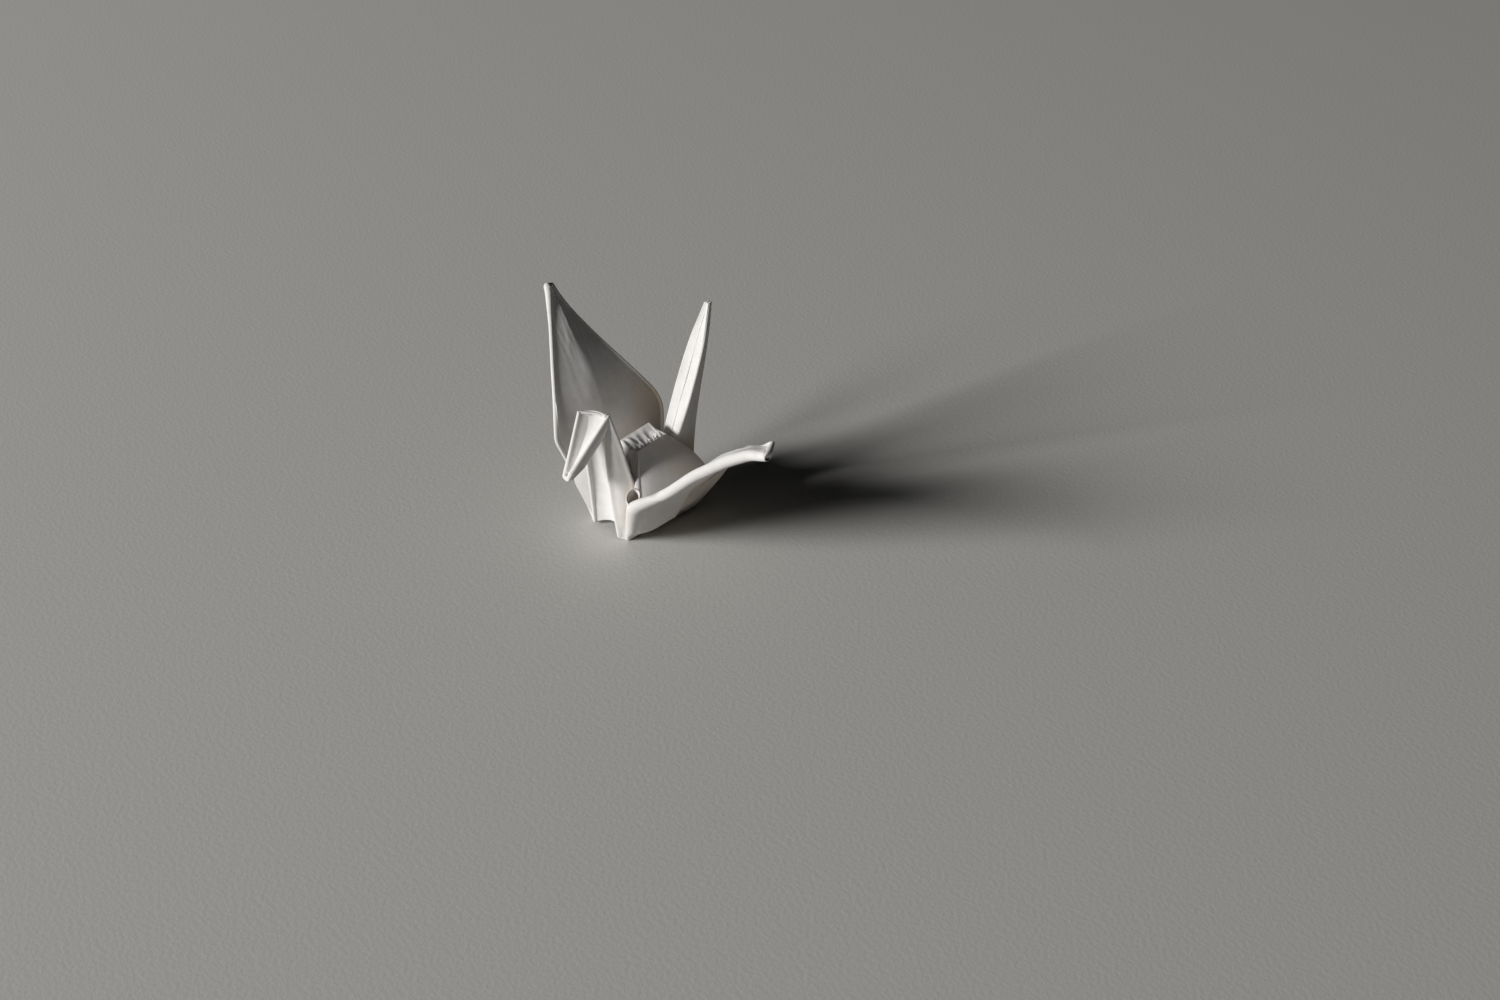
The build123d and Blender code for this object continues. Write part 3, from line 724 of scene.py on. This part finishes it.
def tail(sheet, sides):
    """The tail, from the rear feet to its blunt tip, its two flaps sprung open along the front.

    Each rim runs straight from its foot to the tip and bows inwards, by a half sine that fades with
    height. The flaps' edges stand beside the spine by an opening that changes evenly between marks.
    """
    count = int(64 * FINENESS)
    lean, blunting, rim_bow, half_opening, opening_shift = math.radians(21.0), 0.5, 2.9, 1.9, 0.2
    root = np.array([0, SPINE_INSET, SPINE_RISE])
    tip = root + np.array([0, math.sin(lean), math.cos(lean)]) * (LEG_LENGTH - blunting)
    share = np.linspace(0, 1, count)[:, None]
    spine = root + (tip - root) * share
    opening = np.interp(share[:, 0], [0, 0.35, 0.5, 0.72, 0.88, 1.0], [0.5, 0.8, 1, 0.95, 0.75, 0.1])
    opening = eased(opening, 6)[:, None]
    rims, edges = [], []
    for side in sides:
        foot = side.place(0, FOOT_HALF)
        end = tip + np.array([side.side * 0.25, 0.5, 0])
        bow = side.side * rim_bow * np.sin(np.pi * share) * (1 - share)
        rims.append(foot + (end - foot) * share - bow * np.array([[1.0, 0, 0]]))
        reach = side.side * half_opening + opening_shift
        edges.append(spine + opening * reach * np.array([[1.0, 0, 0]]))

    # Painted warm shade: the tail's pads darkened towards its foot, below about 14.5 mm.
    def painted_warm_shade(share, middle, width):
        return 0.75 * ease((14.5 - middle[..., 2]) / 4)

    leg(sheet, spine, rims, edges, painted_warm_shade, bow=0.2, tip_radius=0.22)
    near_edge, far_edge = (edge + [0, -0.2, 0] for edge in edges)
    trough(sheet, near_edge, far_edge, sag=0.25, facing=(0, -1, 0), seed=75)


def grain_group():
    """A shared effect: a fine grain's height, with its scale in grains to the metre."""
    group = bpy.data.node_groups.new("fine_grain", "ShaderNodeTree")
    group.interface.new_socket("Scale", in_out="INPUT", socket_type="NodeSocketFloat")
    group.interface.new_socket("Detail", in_out="INPUT", socket_type="NodeSocketFloat")
    group.interface.new_socket("Height", in_out="OUTPUT", socket_type="NodeSocketFloat")
    nodes, links = group.nodes, group.links
    entry, result = nodes.new("NodeGroupInput"), nodes.new("NodeGroupOutput")
    place = nodes.new("ShaderNodeTexCoord")
    noise = nodes.new("ShaderNodeTexNoise")
    links.new(place.outputs["Object"], noise.inputs["Vector"])
    for name in ("Scale", "Detail"):
        links.new(entry.outputs[name], noise.inputs[name])
    links.new(noise.outputs["Fac"], result.inputs["Height"])
    return group


def matt(name, roughness, specular):
    """A new matt material, with its shader."""
    material = bpy.data.materials.new(name)
    material.use_nodes = True
    shader = material.node_tree.nodes["Principled BSDF"]
    shader.inputs["Roughness"].default_value = roughness
    shader.inputs["Specular IOR Level"].default_value = specular
    return material, shader


def add_grain(material, shader, group, scale, detail, strength, distance):
    """A fine grain in a material's surface: the shared grain's height, through a bump of a strength
    and a distance in metres."""
    nodes, links = material.node_tree.nodes, material.node_tree.links
    grain = nodes.new("ShaderNodeGroup")
    grain.node_tree = group
    grain.inputs["Scale"].default_value = scale
    grain.inputs["Detail"].default_value = detail
    bump = nodes.new("ShaderNodeBump")
    bump.inputs["Strength"].default_value = strength
    bump.inputs["Distance"].default_value = distance
    links.new(grain.outputs["Height"], bump.inputs["Height"])
    links.new(bump.outputs["Normal"], shader.inputs["Normal"])


def paper_material(group):
    """White uncoated paper: a faint mottle, painted warm shade in its recesses and undersides, and a fine
    tooth.
    """
    material, shader = matt("white_paper", 0.8, 0.3)
    nodes, links = material.node_tree.nodes, material.node_tree.links
    place = nodes.new("ShaderNodeTexCoord")
    mottle = nodes.new("ShaderNodeTexNoise")
    mottle.inputs["Scale"].default_value = 600
    mottle.inputs["Detail"].default_value = 6
    links.new(place.outputs["Object"], mottle.inputs["Vector"])
    tint = nodes.new("ShaderNodeValToRGB")
    tones = ((0.3, (0.74, 0.72, 0.70, 1)), (0.7, (0.81, 0.79, 0.775, 1)))
    for stop, (position, colour) in zip(tint.color_ramp.elements, tones):
        stop.position = position
        stop.color = colour
    links.new(mottle.outputs["Fac"], tint.inputs["Fac"])
    # Painted warm shade: the mesh's attribute mixes the mottled white towards warm brown, standing in for
    # shade.
    painted_shade_attribute = nodes.new("ShaderNodeAttribute")
    painted_shade_attribute.attribute_name = "painted_warm_shade"
    painted_shade_mix = nodes.new("ShaderNodeMix")
    painted_shade_mix.data_type = "RGBA"
    painted_shade_mix.inputs["B"].default_value = (0.76, 0.62, 0.46, 1)
    links.new(painted_shade_attribute.outputs["Fac"], painted_shade_mix.inputs["Factor"])
    links.new(tint.outputs["Color"], painted_shade_mix.inputs["A"])
    links.new(painted_shade_mix.outputs["Result"], shader.inputs["Base Color"])
    add_grain(material, shader, group, scale=2600, detail=4, strength=0.25, distance=0.00008)
    return material


def floor_material(group):
    """A plain pale table top, warm grey with a fine grain."""
    material, shader = matt("table_top", 0.8, 0.2)
    shader.inputs["Base Color"].default_value = (0.63, 0.62, 0.59, 1)
    add_grain(material, shader, group, scale=1400, detail=3, strength=0.35, distance=0.0001)
    return material


def table(group):
    """The floor: one large square."""
    reach = 3.0
    corners = [(-reach, -reach, 0), (reach, -reach, 0), (reach, reach, 0), (-reach, reach, 0)]
    mesh = bpy.data.meshes.new("table")
    mesh.from_pydata(corners, [], [(0, 1, 2, 3)])
    floor = bpy.data.objects.new("table", mesh)
    floor.data.materials.append(floor_material(group))
    bpy.context.scene.collection.objects.link(floor)


def aim(thing, place, target):
    """Put a camera or a lamp at a place and turn it to look at a target."""
    thing.location = place
    thing.rotation_euler = (Vector(target) - Vector(place)).to_track_quat("-Z", "Y").to_euler()


def from_bearing(azimuth, elevation, distance):
    """The offset that stands at a bearing and height above the table; bearing 0 is -Y."""
    a, e = math.radians(azimuth), math.radians(elevation)
    return Vector((math.sin(a) * math.cos(e), -math.cos(a) * math.cos(e), math.sin(e))) * distance


def camera():
    """The photograph's view: from the front and the near side, looking down."""
    across, along = VIEW_TARGET
    target = Vector(((across + BODY_PLACE[0]) * MM, (along + BODY_PLACE[1]) * MM, 0))
    data = bpy.data.cameras.new("view")
    data.lens = 50
    data.sensor_width = 36
    view = bpy.data.objects.new("view", data)
    bpy.context.scene.collection.objects.link(view)
    aim(view, target + from_bearing(VIEW_BEARING, VIEW_RISE, VIEW_DISTANCE), target)
    bpy.context.scene.camera = view


def light():
    """A soft, low, window-like lamp before the crane, and a faint cool fill from all round."""
    data = bpy.data.lights.new("window", "AREA")
    data.shape = "RECTANGLE"
    data.size, data.size_y = LAMP_SIZE
    data.energy = LAMP_POWER
    data.color = (1.0, 0.995, 0.985)
    lamp = bpy.data.objects.new("window", data)
    bpy.context.scene.collection.objects.link(lamp)
    aim(lamp, from_bearing(LAMP_BEARING, LAMP_RISE, LAMP_DISTANCE), (0, 0, 0.012))
    world = bpy.data.worlds.new("fill")
    world.use_nodes = True
    world.node_tree.nodes["Background"].inputs["Color"].default_value = (0.86, 0.93, 1.0, 1)
    world.node_tree.nodes["Background"].inputs["Strength"].default_value = 0.006
    bpy.context.scene.world = world


def crane(group):
    """The whole crane as one piece of paper, in the place of its solid."""
    sheet = PaperMesh()
    near = WingSide(
        side=1, foot_out=NEAR_FOOT_OUT, ahead=0.0, lean=28.5, root_rise=45.0, tip_rise=28.0,
        tip_width=3.6, roll=50.0, swell=1.4, bulges={FRONT: 1.7, REAR: 0.0},
        rims={FRONT: (0.36, 0.85, 0.98, 0.8), REAR: (0.34, 0.3, 0.3, 0.4)},
        drifts={FRONT: ([0, 8, 14.6, 18, 21, 24, 26.6, 32.6, 36, 38.8], [0.0] * 10,
                        [0, 0, 0.3, 0.9, 0.9, 0.1, -0.7, -1.4, -1.0, -0.4], 8),
                REAR: ([0, 8, 14.6, 20, 26, 32, 36, 38.8], [0.0] * 8,
                       [0, 0.5, 0.6, 0.9, 1.5, 1.8, 1.4, 1.0], 14)},
        reaches={FRONT: 1.4, REAR: 0.6})
    far = WingSide(
        side=-1, foot_out=FAR_FOOT_OUT, ahead=0.35, lean=25.0, root_rise=57.0, tip_rise=53.0,
        tip_width=1.2, roll=0.0, swell=0.3, bulges={FRONT: 0.0, REAR: 1.5},
        rims={FRONT: (0.38, 0.40, 0.43, 0.72), REAR: (0.34, 0.22, 0.22, 0.4)},
        drifts={FRONT: ([0, 5, 26, 33, 38.8], [0, -0.85, -0.9, -1.0, -0.9],
                        [0, 0.2, 0.4, 0.3, 0], 8),
                REAR: ([0, 4, 9, 12, 14.6, 20, 28, 34, 38.8], [0, 0.2, 0.6, 0.6, 0.2, 0, 0, 0, 0.3],
                       [0, -0.3, -1.2, -1.7, -1.9, -1.4, 0, 0.3, 0], 24)},
        reaches={FRONT: 0.0, REAR: 0.0})
    sides = (near, far)
    for side in sides:
        wing(sheet, side)
        under_wing(sheet, side)
        flaps(sheet, side)
    lip(sheet, near)
    hump(sheet, sides)
    neck_and_head(sheet, sides)
    tail(sheet, sides)
    piece = sheet.finish("crane_paper")
    piece.data.materials.append(paper_material(group))
    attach(piece, "root")
    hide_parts("folded_crane")


fine_grain = grain_group()
crane(fine_grain)
table(fine_grain)
camera()
light()
bpy.context.scene.view_settings.view_transform = "Standard"
bpy.context.view_layer.update()
